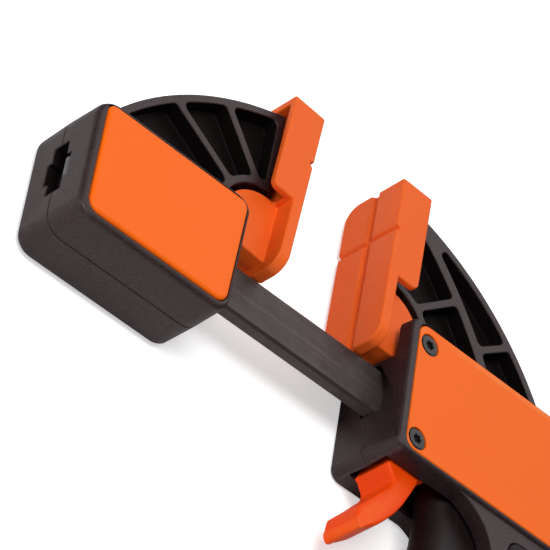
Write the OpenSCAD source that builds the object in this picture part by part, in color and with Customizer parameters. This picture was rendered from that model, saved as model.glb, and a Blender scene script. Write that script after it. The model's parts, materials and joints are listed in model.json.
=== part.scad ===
// Quick release bar clamp, lying on its side.
// X runs along the bar from the fixed jaw to the bar's tail, Y towards the jaw tips,
// Z from the side it lies on to the side that faces up. The origin is on that lower
// side, under the bar's axis, near the middle of the fixed jaw's block.

/* [Bar] */
// Height of the bar's wide face
bar_h = 20; // [18:0.5:22]
// Thickness of the bar
bar_t = 6; // [5:0.25:7]
// Chamfer along the bar's edges
bar_chamfer = 1; // [0.6:0.1:1.4]
// Largest opening between the pads
max_opening = 150; // [120:5:300]
// Opening between the pad tips as the clamp lies
rest_opening = 41.6; // [35:0.2:60]
// Gap of the bar in the passages of the shells
bar_gap = 0.4; // [0.3:0.05:0.8]
// Sliding gap of the bar in its guides, each side
guide_gap = 0.1; // [0.05:0.01:0.2]

/* [Fixed jaw] */
// Width of both jaws across their sides
jaw_w = 35; // [34:0.5:38]
// Length of the fixed jaw's block, at its top
block_len = 72.5; // [70:0.5:76]
// Height of the block above the bar's axis
block_top = 26.5; // [25:0.5:28]
// Depth of the block below the bar's axis
block_bottom = 27; // [25:0.5:29]
// How far the block's inner face leans out at the top
block_lean = 2; // [1:0.5:3]
// Draft of the fixed jaw's shells from the parting plane to the rim
shell_draft = 0.3; // [0.2:0.1:0.8]
// Rounding of the fixed jaw's rims
rim_round = 2; // [1.5:0.1:2.2]
// Wall of the shells
wall = 3; // [2.5:0.1:3.2]
// Width of the jaw arms
arm_w = 16; // [15:0.5:17]
// Height of the arm tips above the bar's axis
arm_top = 83.2; // [80:0.5:86]
// Rim of the arms round their pockets
arm_rim = 3.2; // [2.6:0.1:4]
// Width of the arms' ribs
rib_w = 3.2; // [2.6:0.1:4]
// Web in the middle of the arms
arm_web = 2.6; // [2:0.1:4]
// Height of the side plates' faces over the block's rim
plate_proud = 0.7; // [0.4:0.1:1]
// Thickness of the side plates
plate_t = 2.4; // [2:0.1:2.8]
// Gap round the side plates
plate_gap = 0.35; // [0.2:0.05:0.5]

/* [Pads] */
// Height of the pads
pad_h = 77.1; // [74:0.1:79]
// Width of the pads
pad_w = 31.2; // [29:0.2:33]
// Depth of a pad's upper block
pad_deep = 14.8; // [13.5:0.1:16]
// Depth of a pad's lower plate
pad_thin = 4.8; // [4:0.1:5.5]
// Length of the upper block
pad_block_h = 46; // [43:0.5:49]
// Lean of the fixed pad
fixed_pad_lean = 4.7; // [3.5:0.1:4.8]
// Lean of the moving pad
moving_pad_lean = 1.6; // [0.6:0.1:1.8]
// Radius of a pad's rear boss
boss_r = 18.5; // [17:0.1:19]
// Width of a pad's rear boss
boss_w = 14; // [13:0.2:15]
// Gap between a boss and its seat
seat_gap = 2; // [1.6:0.1:2.5]
// Diameter of the pads' pivot pins
pad_pin_d = 4; // [3:0.1:4.5]

/* [Moving jaw] */
// Length of the moving jaw's body
body_len = 94; // [92:0.5:98]
// Height of the body above the bar's axis
body_top = 30; // [29:0.5:32]
// Depth of the body below the bar's axis
body_bottom = 31.5; // [31:0.5:33]
// Draft of the moving jaw's shells
body_draft = 1.3; // [0.8:0.1:1.6]
// Rounding of the moving jaw's rims
body_round = 1.2; // [0.8:0.1:1.4]
// Reach of the handle below the bar's axis
handle_reach = 112; // [108:1:118]
// Diameter of the plate screws' heads
screw_head_d = 8.2; // [7.5:0.1:8.6]
// Diameter of the screws' shanks
screw_d = 3.8; // [3.2:0.1:4.2]

/* [Lever and trigger] */
// Width of the release lever
lever_w = 17; // [15.5:0.5:18.5]
// Width of the trigger
trigger_w = 17; // [16:0.5:18]
// Diameter of the trigger's and lever's pins
pin_d = 5; // [4:0.1:5.5]
// Running gap round the pins
pin_gap = 0.05; // [0.02:0.01:0.1]
// Wire of the drive spring
drive_wire = 1.5; // [1.2:0.1:1.8]
// Wire of the brake spring
brake_wire = 1; // [0.8:0.1:1.2]

/* [Hidden] */
$fn = 48;
over = 1;
thin = 0.01;
// A small lift that keeps neighbouring solids clear
clear = 0.3;
black = [0.2, 0.19, 0.19];
orange = [1, 0.42, 0.12];
steel = [0.42, 0.4, 0.39];
zinc = [0.62, 0.62, 0.64];

zc = jaw_w / 2;
block_x0 = -36;
block_x1 = block_x0 + block_len;
pivot_depth = 8.5;
pivot_y = 25;
pad_foot = 14.1;
pad_tip = pad_h - pad_foot;
fixed_pivot_x = 49.5;
// Where the face of each pad stands at its tip
fixed_tip_x = fixed_pivot_x + pivot_depth * cos(fixed_pad_lean) + pad_tip * sin(fixed_pad_lean);
moving_tip_x = fixed_tip_x + rest_opening;
moving_pivot_x = moving_tip_x + pivot_depth * cos(moving_pad_lean) - pad_tip * sin(moving_pad_lean);
seat_r = boss_r + seat_gap;
scoop_w = 21.8;
scoop_floor = 13;
body_set = 3.6;
body_x0 = moving_pivot_x + body_set;
body_x1 = body_x0 + body_len;

// Bar
bar_inset = 5;
stop_gap = 3.5;
stop_margin = 7;
bar_x0 = block_x0 + bar_inset;
travel_out = max_opening - rest_opening;
stop_x = body_x1 + travel_out + stop_gap;
bar_x1 = stop_x + stop_margin;
stop_d = 4;
stop_len = 12;

function arc(c, r, a0, a1, n) = [for (i = [0:n]) let (a = a0 + (a1 - a0) * i / n) c + r * [cos(a), sin(a)]];
// Centre of the circle of radius r through p and q, on the right of the way from p to q
function arc_centre(p, q, r) = let (d = q - p, l = norm(d), h = sqrt(r * r - l * l / 4))
    (p + q) / 2 + h * [d[1], -d[0]] / l;
function bearing(c, p) = atan2(p[1] - c[1], p[0] - c[0]);
function arc_through(p, q, r, n) = let (c = arc_centre(p, q, r)) arc(c, r, bearing(c, p), bearing(c, q), n);
// Outline round circles [x, y, r], named counterclockwise
function side_angle(p, q) = let (d = [q[0] - p[0], q[1] - p[1]])
    atan2(d[1], d[0]) - acos((p[2] - q[2]) / norm(d));
function turn_up(a, b) = b < a ? turn_up(a, b + 360) : (b >= a + 360 ? turn_up(a, b - 360) : b);
function rounded(c, n = 6) = let (k = len(c)) [for (i = [0:k - 1])
    let (a = side_angle(c[(i + k - 1) % k], c[i]), b = turn_up(a, side_angle(c[i], c[(i + 1) % k])))
    for (j = [0:n]) let (t = a + (b - a) * j / n) [c[i][0] + c[i][2] * cos(t), c[i][1] + c[i][2] * sin(t)]];
function reversed(p) = [for (i = [len(p) - 1:-1:0]) p[i]];
function grown(c, g) = [for (p = c) [p[0], p[1], p[2] + g]];
// Smooth curve through the points
function bend(a, b, c, d, t) = (2 * b + (c - a) * t + (2 * a - 5 * b + 4 * c - d) * t * t
    + (3 * b - a - 3 * c + d) * t * t * t) / 2;
function smooth_line(p, n) = let (k = len(p)) concat([for (i = [0:k - 2], j = [0:n - 1])
    bend(p[max(i - 1, 0)], p[i], p[i + 1], p[min(i + 2, k - 1)], j / n)], [p[k - 1]]);

// A half shell's solid, drafted up from the parting plane with a rounded rim
edge_share = 0.3;
module drafted(corners, h, draft = shell_draft, edge = rim_round) {
    step = edge * edge_share;
    hull() for (c = corners) translate([c[0], c[1], 0]) {
        cylinder(r = c[2], h = thin, $fn = 32);
        translate([0, 0, h - edge]) cylinder(r = c[2] - draft, h = thin, $fn = 32);
        translate([0, 0, h - step]) cylinder(r = c[2] - draft - step, h = thin, $fn = 32);
        translate([0, 0, h - thin]) cylinder(r = max(c[2] - draft - edge, thin), h = thin, $fn = 32);
    }
}
// A flat plate with rounded corners and a bevelled upper edge, from z0 up to z1
module bevelled(corners, z0, z1, bevel) {
    hull() for (c = corners) translate([c[0], c[1], 0]) {
        translate([0, 0, z0]) cylinder(r = c[2], h = z1 - z0 - bevel, $fn = 32);
        translate([0, 0, z0]) cylinder(r = c[2] - bevel, h = z1 - z0, $fn = 32);
    }
}
module bar_passage(gap, x0, x1) {
    translate([x0, -bar_h / 2 - gap, -bar_t / 2 - gap]) cube([x1 - x0, bar_h + 2 * gap, bar_t + 2 * gap]);
}
module bar_section(gap = 0) {
    h = bar_h / 2 + gap;
    t = bar_t / 2 + gap;
    c = bar_chamfer;
    polygon([[-t, -h + c], [-t + c, -h], [t - c, -h], [t, -h + c], [t, h - c], [t - c, h],
        [-t + c, h], [-t, h - c]]);
}
// Lays a section, drawn with the jaws' width across it, along X
module along_bar(x0, x1) {
    translate([x0, 0, 0]) rotate([90, 0, 90]) linear_extrude(x1 - x0) rotate(90) children();
}
module far_side() {
    translate([0, 0, zc]) mirror([0, 0, 1]) children();
}
module near_side() {
    translate([0, 0, zc]) children();
}

// Bar with its tail stop

module bar() {
    color(steel) difference() {
        near_side() along_bar(bar_x0, bar_x1) bar_section();
        near_side() translate([retainer_x, 0, -bar_t]) cylinder(d = retainer_d + 2 * pin_gap, h = 2 * bar_t);
        near_side() translate([stop_x, 0, -bar_t]) cylinder(d = stop_d + 2 * pin_gap, h = 2 * bar_t);
    }
}
module bar_end_stop() {
    slit = 0.8;
    color(zinc) near_side() translate([stop_x, 0, -stop_len / 2]) difference() {
        cylinder(d = stop_d, h = stop_len);
        translate([0, 0, -over]) cylinder(d = stop_d / 2, h = stop_len + 2 * over);
        translate([0, -slit / 2, -over]) cube([stop_d, slit, stop_len + 2 * over]);
    }
}

// Fixed jaw

retainer_x = -20;
retainer_d = 5;
retainer_len = 24;
tl_r = 9.5;
bl_r = 7.5;
br_r = 7.5;
tr_r = 6;
block_corners = [[block_x0 + tl_r, block_top - tl_r, tl_r], [block_x0 + bl_r, bl_r - block_bottom, bl_r],
    [block_x1 - block_lean - br_r, br_r - block_bottom, br_r], [block_x1 - tr_r, block_top - tr_r, tr_r]];
block_half = zc - plate_proud;
plate_end_margin = 4.3;
plate_front_margin = 2.3;
plate_top_margin = 2.2;
plate_foot_margin = 3.7;
plate_r = 5;
plate_bevel = 0.9;
plate_top_r = 3.8;
plate_y0 = plate_r + plate_foot_margin - block_bottom;
plate_y1 = block_top - plate_top_margin - plate_top_r;
fixed_plate_corners = [[block_x0 + plate_end_margin + plate_top_r, plate_y1, plate_top_r],
    [block_x0 + plate_end_margin + plate_r, plate_y0, plate_r],
    [block_x1 - block_lean - plate_front_margin - plate_r, plate_y0, plate_r],
    [block_x1 - plate_front_margin - plate_top_r, plate_y1, plate_top_r]];
socket_wall = 2.6;
slot_gap = 0.8;
slot_deep = 6;
slot_cross_w = 12.2;
slot_cross_low = 5.4;
slot_cross_high = 4.6;
head_screw_front = 12;
head_screw_back = 14;
head_screw_top = 9;
head_screw_foot = 7.9;
head_screw_places = [[block_x0 + head_screw_front, block_top - head_screw_top],
    [block_x0 + head_screw_front, head_screw_foot - block_bottom],
    [block_x1 - head_screw_back, head_screw_foot - block_bottom]];
head_screw_boss = 4.2;
tongue_w = 7;
tongue_eye = 4.5;
tongue_gap = 0.4;

// Fixed arm: outer curve from the block to the tip, end face, and the seat of the pad's boss
arm_rise = arm_top - pivot_y;
function at_seat(x, s) = [x + s[0] * arm_rise, pivot_y + s[1] * arm_rise];
fixed_tip_share = [0.0275, 1];
fixed_end_share = [0.0034, 0.317];
fixed_heel_set = 8.5;
fixed_heel = [block_x0 + fixed_heel_set, block_top - over];
fixed_arm_r = 137;
arm_sink = 1.7;
module fixed_arm_outline() {
    difference() {
        polygon(concat(arc_through(fixed_heel, at_seat(fixed_pivot_x, fixed_tip_share), fixed_arm_r, 40),
            [at_seat(fixed_pivot_x, fixed_end_share), [fixed_pivot_x, pivot_y],
            [block_x1 - tr_r, block_top - arm_sink], [fixed_heel[0], block_top - arm_sink]]));
        translate([fixed_pivot_x, pivot_y]) circle(r = seat_r, $fn = 96);
    }
}
// Ribs of the fixed arm, each from the outer curve to the seat
fixed_rib_shares = [[[-0.7766, 0.5017], [-0.2749, 0.2027]], [[-0.4089, 0.7491], [-0.1134, 0.3746]]];
rib_over = 9;
module strip(p, q, w, more = 0) {
    d = (q - p) / norm(q - p);
    n = [-d[1], d[0]] * w / 2;
    a = p - d * more;
    b = q + d * more;
    polygon([a + n, b + n, b - n, a - n]);
}
pocket_r = 2.2;
module fixed_pockets() {
    offset(r = pocket_r, $fn = 24) offset(delta = -pocket_r) difference() {
        offset(delta = -arm_rim) fixed_arm_outline();
        translate([fixed_pivot_x, pivot_y]) circle(r = seat_r + arm_rim, $fn = 96);
        translate([block_x0, -block_bottom]) square([block_len, block_bottom + block_top + arm_rim / 2]);
        for (r = fixed_rib_shares)
            strip(at_seat(fixed_pivot_x, r[0]), at_seat(fixed_pivot_x, r[1]), rib_w, rib_over);
    }
}
// Tongue that reaches into a pad's boss, pointing along +X from x0 to its eye at the origin
module tongue(x0) {
    linear_extrude(tongue_w / 2) {
        circle(r = tongue_eye);
        translate([x0, -tongue_eye]) square([-x0, 2 * tongue_eye]);
    }
}
module seat_cut(w) {
    translate([0, 0, -over]) cylinder(r = seat_r, h = w / 2 + over, $fn = 96);
}
lobe_share = 0.17;
core_share = 0.68;
module torx(d, depth) {
    cylinder(d = d * core_share, h = depth);
    for (a = [0:60:300]) rotate(a) translate([d / 2 - d * lobe_share, 0, 0])
        cylinder(r = d * lobe_share, h = depth, $fn = 16);
}
head_screw_head = 7;
head_screw_head_h = 2.4;
module fixed_half() {
    difference() {
        union() {
            difference() {
                drafted(block_corners, block_half);
                // Recess of the side plate
                translate([0, 0, zc - plate_t - clear]) linear_extrude(plate_t + over)
                    polygon(rounded(grown(fixed_plate_corners, plate_gap)));
                // Hollow round the bar's socket
                translate([0, 0, -over]) linear_extrude(block_half - plate_t - wall + over) difference() {
                    intersection() {
                        polygon(rounded(grown(block_corners, -wall - shell_draft - clear)));
                        translate([block_x0, -block_bottom])
                            square([block_len - block_lean - 3 * wall, block_bottom + block_top]);
                    }
                    translate([block_x0, -bar_h / 2 - bar_gap - socket_wall])
                        square([block_len, bar_h + 2 * (bar_gap + socket_wall)]);
                    for (p = head_screw_places) translate(p) circle(r = head_screw_boss);
                }
                // Seat of the pad's boss
                translate([fixed_pivot_x, pivot_y, 0]) seat_cut(scoop_w);
            }
            difference() {
                linear_extrude(arm_w / 2) fixed_arm_outline();
                translate([0, 0, arm_web / 2]) linear_extrude(arm_w) fixed_pockets();
            }
            translate([fixed_pivot_x, pivot_y, 0]) tongue(-seat_r - wall);
        }
        bar_passage(bar_gap / 4, bar_x0 - bar_gap, block_x1 + over);
        // Slot in the end face, wider in its middle
        translate([block_x0 - over, -bar_h / 2 - slot_gap, -over])
            cube([slot_deep + over, bar_h + 2 * slot_gap, bar_t / 2 + slot_gap + over]);
        translate([block_x0 - over, -slot_cross_low, -over])
            cube([slot_deep + over, slot_cross_low + slot_cross_high, slot_cross_w / 2 + over]);
        translate([fixed_pivot_x, pivot_y, -over]) cylinder(d = pad_pin_d + 2 * pin_gap, h = tongue_w);
        translate([retainer_x, 0, -over])
            cylinder(d = retainer_d + 2 * pin_gap, h = retainer_len / 2 + clear + over);
        for (p = head_screw_places) translate([p[0], p[1], -over]) {
            cylinder(d = screw_d + 2 * pin_gap, h = zc + over);
        }
    }
}
head_screw_seat = block_half - plate_t - head_screw_head_h - clear;
module fixed_jaw_near_shell() {
    color(black) near_side() difference() {
        fixed_half();
        for (p = head_screw_places) translate([p[0], p[1], head_screw_seat])
            cylinder(d = head_screw_head + clear, h = zc);
    }
}
module fixed_jaw_far_shell() {
    color(black) far_side() fixed_half();
}
module fixed_plate() {
    bevelled(fixed_plate_corners, zc - plate_t, zc, plate_bevel);
}
module fixed_jaw_near_plate() {
    color(orange) near_side() fixed_plate();
}
module fixed_jaw_far_plate() {
    color(orange) far_side() fixed_plate();
}
module bar_retaining_pin() {
    color(zinc) near_side() translate([retainer_x, 0, -retainer_len / 2])
        cylinder(d = retainer_d, h = retainer_len);
}
// Leaf bent round its front, in the slot before the bar's end
clip_t = 0.5;
clip_r = 2.6;
clip_set = 1.2;
clip_len = 0.9;
module clip_section(r, more = 0) {
    intersection() {
        union() {
            circle(r = r);
            translate([0, -r]) square([2 * r, 2 * r]);
        }
        translate([-r, -r]) square([r + clip_len + more, 2 * r]);
    }
}
module bar_retaining_clip() {
    middle = zc + slot_cross_w / 2 - clear - clip_r;
    color(steel) translate([block_x0 + clip_set + clip_r, clear - slot_cross_low, middle])
        rotate([-90, 0, 0]) linear_extrude(slot_cross_low + slot_cross_high - 2 * clear) difference() {
            clip_section(clip_r);
            clip_section(clip_r - clip_t, over);
        }
}
module fixed_jaw_screws() {
    color(zinc) near_side() for (p = head_screw_places) translate([p[0], p[1], 0]) difference() {
        union() {
            translate([0, 0, -zc / 2]) cylinder(d = screw_d, h = zc / 2 + head_screw_seat + clear / 2);
            translate([0, 0, head_screw_seat + clear / 2])
                cylinder(d = head_screw_head, h = head_screw_head_h - clear);
        }
        translate([0, 0, head_screw_seat + clear]) torx(screw_d, head_screw_head_h);
    }
}

// Pads, drawn with the pivot at the origin and the clamping face towards +X

pad_corner_r = 1.6;
pad_round = 7;
pad_far_round = 7.5;
pocket_wall = 2.9;
pocket_top_wall = 3.4;
pocket_floor = 7;
boss_flat = 9.8;
groove_w = 4.4;
groove_floor_share = 0.36;
groove_deep = 1.5;
cross_groove_w = 3;
cross_groove_y = 38.4;
step_r = 3;
module pad_slab(x0, x1) {
    h = pad_w / 2;
    hull() {
        for (c = [[pad_tip - pad_corner_r, h - pad_corner_r, pad_corner_r],
            [pad_tip - pad_far_round, pad_far_round - h, pad_far_round],
            [pad_round - pad_foot, pad_round - h, pad_round],
            [pad_round - pad_foot, h - pad_round, pad_round]])
            translate([x0, c[0], c[1]]) rotate([0, 90, 0]) cylinder(r = c[2], h = x1 - x0, $fn = 40);
    }
}
module groove(w, length) {
    f = w * groove_floor_share / 2;
    linear_extrude(length, center = true) polygon([[over, w / 2 + over], [0, w / 2], [-groove_deep, f],
        [-groove_deep, -f], [0, -w / 2], [over, -w / 2 - over]]);
}
module pad_solid() {
    rear = pivot_depth - pad_deep;
    block_foot = pad_tip - pad_block_h;
    difference() {
        union() {
            pad_slab(pivot_depth - pad_thin, pivot_depth);
            intersection() {
                pad_slab(rear, pivot_depth);
                union() {
                    translate([rear, block_foot + step_r, -pad_w]) cube([pad_deep, pad_h, 2 * pad_w]);
                    translate([rear + step_r, block_foot, -pad_w]) cube([pad_deep, pad_h, 2 * pad_w]);
                    translate([rear + step_r, block_foot + step_r, -pad_w])
                        cylinder(r = step_r, h = 2 * pad_w);
                }
            }
            intersection() {
                translate([0, 0, -boss_w / 2]) cylinder(r = boss_r, h = boss_w, $fn = 96);
                translate([-boss_r - over, -boss_flat, -boss_w])
                    cube([boss_r + pivot_depth - pad_thin + 2 * over, 2 * boss_r, 2 * boss_w]);
            }
        }
        // Pocket that the arm's tip stands in
        difference() {
            translate([rear - over, block_foot - over, pocket_wall - pad_w / 2])
                cube([pad_deep + over - pocket_floor, pad_block_h + over - pocket_top_wall,
                    pad_w - 2 * pocket_wall]);
            intersection() {
                translate([0, 0, -boss_w / 2]) cylinder(r = boss_r, h = boss_w, $fn = 96);
                translate([-boss_r, -boss_r, -boss_w]) cube([2 * boss_r, 2 * boss_r, 2 * boss_w]);
            }
        }
        // Slot for the jaw's tongue
        translate([-boss_r - over, boss_floor - boss_flat, -tongue_w / 2 - tongue_gap])
            cube([boss_r + over + tongue_eye + tongue_gap, 2 * boss_r, tongue_w + 2 * tongue_gap]);
        translate([0, 0, -boss_w / 2 - over])
            cylinder(d = pad_pin_d + 2 * pin_gap, h = over + pad_pin_len + clear);
        // Grooves across the clamping face
        translate([pivot_depth, pad_tip / 2, 0]) rotate([-90, 0, 0]) groove(groove_w, 2 * pad_h);
        translate([pivot_depth, cross_groove_y, 0]) groove(cross_groove_w, 2 * pad_w);
    }
}
boss_floor = 2;
pad_pin_end = 1.8;
pad_pin_len = boss_w - pad_pin_end;
module at_fixed_pad() {
    translate([fixed_pivot_x, pivot_y, zc]) rotate(-fixed_pad_lean) children();
}
module at_moving_pad() {
    translate([moving_pivot_x, pivot_y, zc]) rotate(-moving_pad_lean) mirror([1, 0, 0]) children();
}
module pad_pin() {
    translate([0, 0, -boss_w / 2]) cylinder(d = pad_pin_d, h = pad_pin_len);
}
module fixed_pad() {
    color(orange) at_fixed_pad() pad_solid();
}
module moving_pad() {
    color(orange) at_moving_pad() pad_solid();
}
module fixed_pad_pin() {
    color(zinc) translate([fixed_pivot_x, pivot_y, zc]) pad_pin();
}
module moving_pad_pin() {
    color(zinc) translate([moving_pivot_x, pivot_y, zc]) pad_pin();
}

// Moving jaw, measured from the front of its body

body_r = 5;
body_foot_r = 6;
body_heel_r = 7;
body_back_r = 8;
body_corners = [[body_x0 + body_r, body_top - body_r, body_r],
    [body_x0 + body_foot_r, body_foot_r - body_bottom, body_foot_r],
    [body_x1 - body_heel_r, body_heel_r - body_bottom, body_heel_r],
    [body_x1 - body_back_r, body_top - body_back_r, body_back_r]];
moving_plate_margin = 3.6;
moving_plate_top_margin = 1.8;
moving_plate_front_margin = 5.4;
moving_plate_r = 4.5;
moving_plate_x0 = body_x0 + moving_plate_front_margin + moving_plate_r;
moving_plate_x1 = body_x1 - moving_plate_margin - moving_plate_r;
moving_plate_y0 = moving_plate_r + moving_plate_margin - body_bottom;
moving_plate_y1 = body_top - moving_plate_top_margin - moving_plate_r;
moving_plate_corners = [[moving_plate_x0, moving_plate_y1, moving_plate_r],
    [moving_plate_x0, moving_plate_y0, moving_plate_r], [moving_plate_x1, moving_plate_y0, moving_plate_r],
    [moving_plate_x1, moving_plate_y1, moving_plate_r]];
plate_sunk = 0.3;
moving_plate_t = 1.8;
moving_plate_bevel = 0.4;
moving_tip_share = [0.0241, 1.0069];
moving_crest_share = [0.232, 1.0155];
moving_end_share = [0.0137, 0.317];
moving_heel_share = 0.867;
moving_root_set = 4;
moving_tip = at_seat(moving_pivot_x, moving_tip_share);
moving_crest = at_seat(moving_pivot_x, moving_crest_share);
moving_heel = [body_x0 + moving_heel_share * body_len, body_top - over];
moving_arm_r = 118;
module moving_arm_outline() {
    difference() {
        polygon(concat([moving_tip], arc_through(moving_crest, moving_heel, moving_arm_r, 40),
            [[moving_heel[0], body_top - arm_sink], [body_x0 + moving_root_set, body_top - arm_sink],
            [moving_pivot_x, pivot_y], at_seat(moving_pivot_x, moving_end_share)]));
        translate([moving_pivot_x, pivot_y]) circle(r = seat_r, $fn = 96);
    }
}
inner_rib_set = 3;
inner_rib_share = 0.537;
inner_rib = [moving_crest - [inner_rib_set, inner_rib_set], [body_x0 + inner_rib_share * body_len, body_top]];
inner_rib_r = 160;
cross_rib_shares = [[[0.2595, 0.3162], [0.5945, 0.5928]], [[0.8093, 0.3265], [1.11, 0.5498]]];
module moving_pockets() {
    offset(r = pocket_r, $fn = 24) offset(delta = -pocket_r) difference() {
        offset(delta = -arm_rim) moving_arm_outline();
        translate([moving_pivot_x, pivot_y]) circle(r = seat_r + arm_rim, $fn = 96);
        translate([body_x0, -body_bottom]) square([body_len, body_bottom + body_top + arm_rim / 2]);
        for (r = cross_rib_shares) strip(at_seat(moving_pivot_x, r[0]), at_seat(moving_pivot_x, r[1]), rib_w);
        difference() {
            curve = arc_through(inner_rib[0], inner_rib[1], inner_rib_r, 24);
            lift = [rib_w, rib_w] / 2;
            polygon(concat([for (p = curve) p + lift], [for (i = [len(curve) - 1:-1:0]) curve[i] - lift]));
        }
    }
}
// Opening of the body's front face round the bar, as height and half width
mouth_rise = 1;
mouth_drop = 0.6;
mouth_half = 11.4;
mouth_shoulder_share = 0.15;
mouth_top = bar_h / 2 + mouth_rise;
mouth_foot = -bar_h / 2 - mouth_drop;
module mouth() {
    polygon([[mouth_foot, -over], [mouth_foot, mouth_half], [-bar_h * mouth_shoulder_share, mouth_half],
        [mouth_top, bar_t / 2 + clear], [mouth_top, -over]]);
}
front_wall = 4;
front_guide_x = body_x0 + front_wall;
guide_len = 6.4;
guide_h = 29;
guide_w = 17;
guide_rib = 2.4;
front_block = front_wall + guide_len + guide_rib;
rear_wall = 4;
rear_guide_x = body_x1 - rear_wall - guide_len;
rear_block = rear_wall + guide_len + guide_rib;
lip = 4;
lip_step = 2.5;
lever_set = 3.2;
brake_set = 5;
trigger_set = 14;
trigger_arm = 12;
trigger_nose = 2.6;
push_gap = 0.4;
bridge_gap = 3;
pin_end_gap = 1;
trigger_up = 18.8;
lever_pivot_rise = 6.5;
lever_pivot = [body_x0 + front_block + lever_set, lever_pivot_rise - body_bottom];
brake_x = lever_pivot[0] + brake_set;
trigger_pivot = [brake_x + trigger_set, trigger_up];
drive_x = trigger_pivot[0] + trigger_arm / 2 + trigger_nose + push_gap;
cavity_wall = 4;
cavity_half = zc - cavity_wall;
floor_t = 2.6;
slot_side_gap = 0.8;
slot_half = max(lever_w, trigger_w) / 2 + slot_side_gap;
boss_wall = 3;
trigger_cheek = 3.6;
plate_screw_len = 6;
plate_screw_head_h = 1.6;
// Places in the body as shares of its length and height, and below it as shares of the handle's
function in_body(s) = [body_x0 + s[0] * body_len, s[1] * (body_bottom + body_top) - body_bottom];
function in_handle(s) = [body_x0 + s[0] * body_len, -body_bottom - s[1] * (handle_reach - body_bottom)];
// Each plate screw from the centre of the plate's corner, as shares of the corner's radius
plate_screw_shares = [[0.244, -0.689], [0.156, 0.244], [-0.244, 0.311], [-0.644, -0.6]];
plate_screw_places = [for (i = [0:3]) [moving_plate_corners[i][0], moving_plate_corners[i][1]]
    + plate_screw_shares[i] * moving_plate_r];
shell_screw_shares = [[0.239, 0.911], [0.766, 0.846]];
handle_screw_shares = [[0.83, 0.23], [0.84, 0.789]];
shell_screw_places = concat([for (s = shell_screw_shares) in_body(s)],
    [for (s = handle_screw_shares) in_handle(s)]);
shell_screw_head = 6.8;
shell_screw_boss = 4.4;
shell_screw_deep = 5.2;
shell_screw_z = zc - shell_screw_deep;
nut_w = 7;
nut_t = 2.8;
grip_r = 5;
grip_shares = [[0.702, 0.118], [0.766, 0.888], [0.862, 0.888], [0.904, 0.553], [0.883, 0.106]];
grip_corners = [for (s = grip_shares) let (p = in_handle(s)) [p[0], p[1], grip_r]];
grip_t = 1.6;
grip_proud = 0.6;
grip_drop = 1.1;
module pin_boss(p, d) {
    translate([p[0], p[1], 0]) cylinder(d = d + 2 * boss_wall, h = zc - wall);
}
// Outline of the handle, its front down and its rear up
handle_toe_r = 8;
handle_heel_r = 9;
handle_toe_share = 0.654;
handle_heel_share = 0.968;
handle_front = [[0.367, -0.012], [0.41, 0], [0.48, 0.046], [0.531, 0.104], [0.56, 0.18], [0.596, 0.354],
    [0.632, 0.603], [0.649, 0.82]];
handle_rear = [[0.963, 0.77], [0.9915, 0.559], [0.9936, 0.422], [0.9745, 0.149], [0.966, -0.025],
    [0.973, -0.174]];
handle_root = [0.367, -0.174];
handle_toe = [body_x0 + handle_toe_share * body_len + handle_toe_r, handle_toe_r - handle_reach];
handle_heel = [body_x0 + handle_heel_share * body_len - handle_heel_r, handle_heel_r - handle_reach];
function handle_outline() = concat(
    smooth_line([for (s = handle_front) in_handle(s)], 3),
    arc(handle_toe, handle_toe_r, 180, 262, 6), arc(handle_heel, handle_heel_r, 275, 355, 6),
    smooth_line([for (s = handle_rear) in_handle(s)], 3), [in_handle(handle_root)]);
// Room for the works and hollow of the handle
works_top = body_top - cavity_wall;
works_x0 = body_x0 + front_block;
works_x1 = body_x1 - rear_block;
works_floor = floor_t - body_bottom;
room_foot = -guide_h / 2 - over;
hollow_shares = [[0.53, -0.03], [0.612, 0.12], [0.672, 0.4], [0.69, 0.826], [0.723, 0.925], [0.883, 0.925],
    [0.92, 0.851], [0.94, 0.503], [0.926, 0.168]];
works_outline = concat([[works_x0, works_top], [works_x0, room_foot], [body_x0 + lip + lip_step, room_foot],
    [body_x0 + lip + lip_step, works_floor]], [for (s = hollow_shares) in_handle(s)],
    [[works_x1, works_floor], [works_x1, works_top]]);
// Slot in the body's underside and the handle's front, for the lever and the trigger
slot_shares = [[0.383, 0.012], [0.5, 0.2], [0.56, 0.4], [0.61, 0.66], [0.7, 0.62], [0.74, 0.38], [0.66, -0.03]];
slot_outline = concat([[body_x0 + lip, room_foot], [body_x0 + lip, -body_bottom - over]],
    [for (s = slot_shares) in_handle(s)], [[in_handle(slot_shares[6])[0], room_foot]]);
module cavity() {
    translate([0, 0, -over]) linear_extrude(cavity_half + over) polygon(works_outline);
    translate([0, 0, -over]) linear_extrude(slot_half + over) polygon(slot_outline);
}
module body_solids() {
    difference() {
        union() {
            drafted(body_corners, zc, body_draft, body_round);
            linear_extrude(zc - grip_drop) polygon(handle_outline());
        }
        cavity();
        translate([moving_pivot_x, pivot_y, 0]) intersection() {
            seat_cut(scoop_w);
            translate([-seat_r, scoop_floor - pivot_y, -over]) cube([2 * seat_r, 2 * seat_r, jaw_w]);
        }
    }
}
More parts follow.
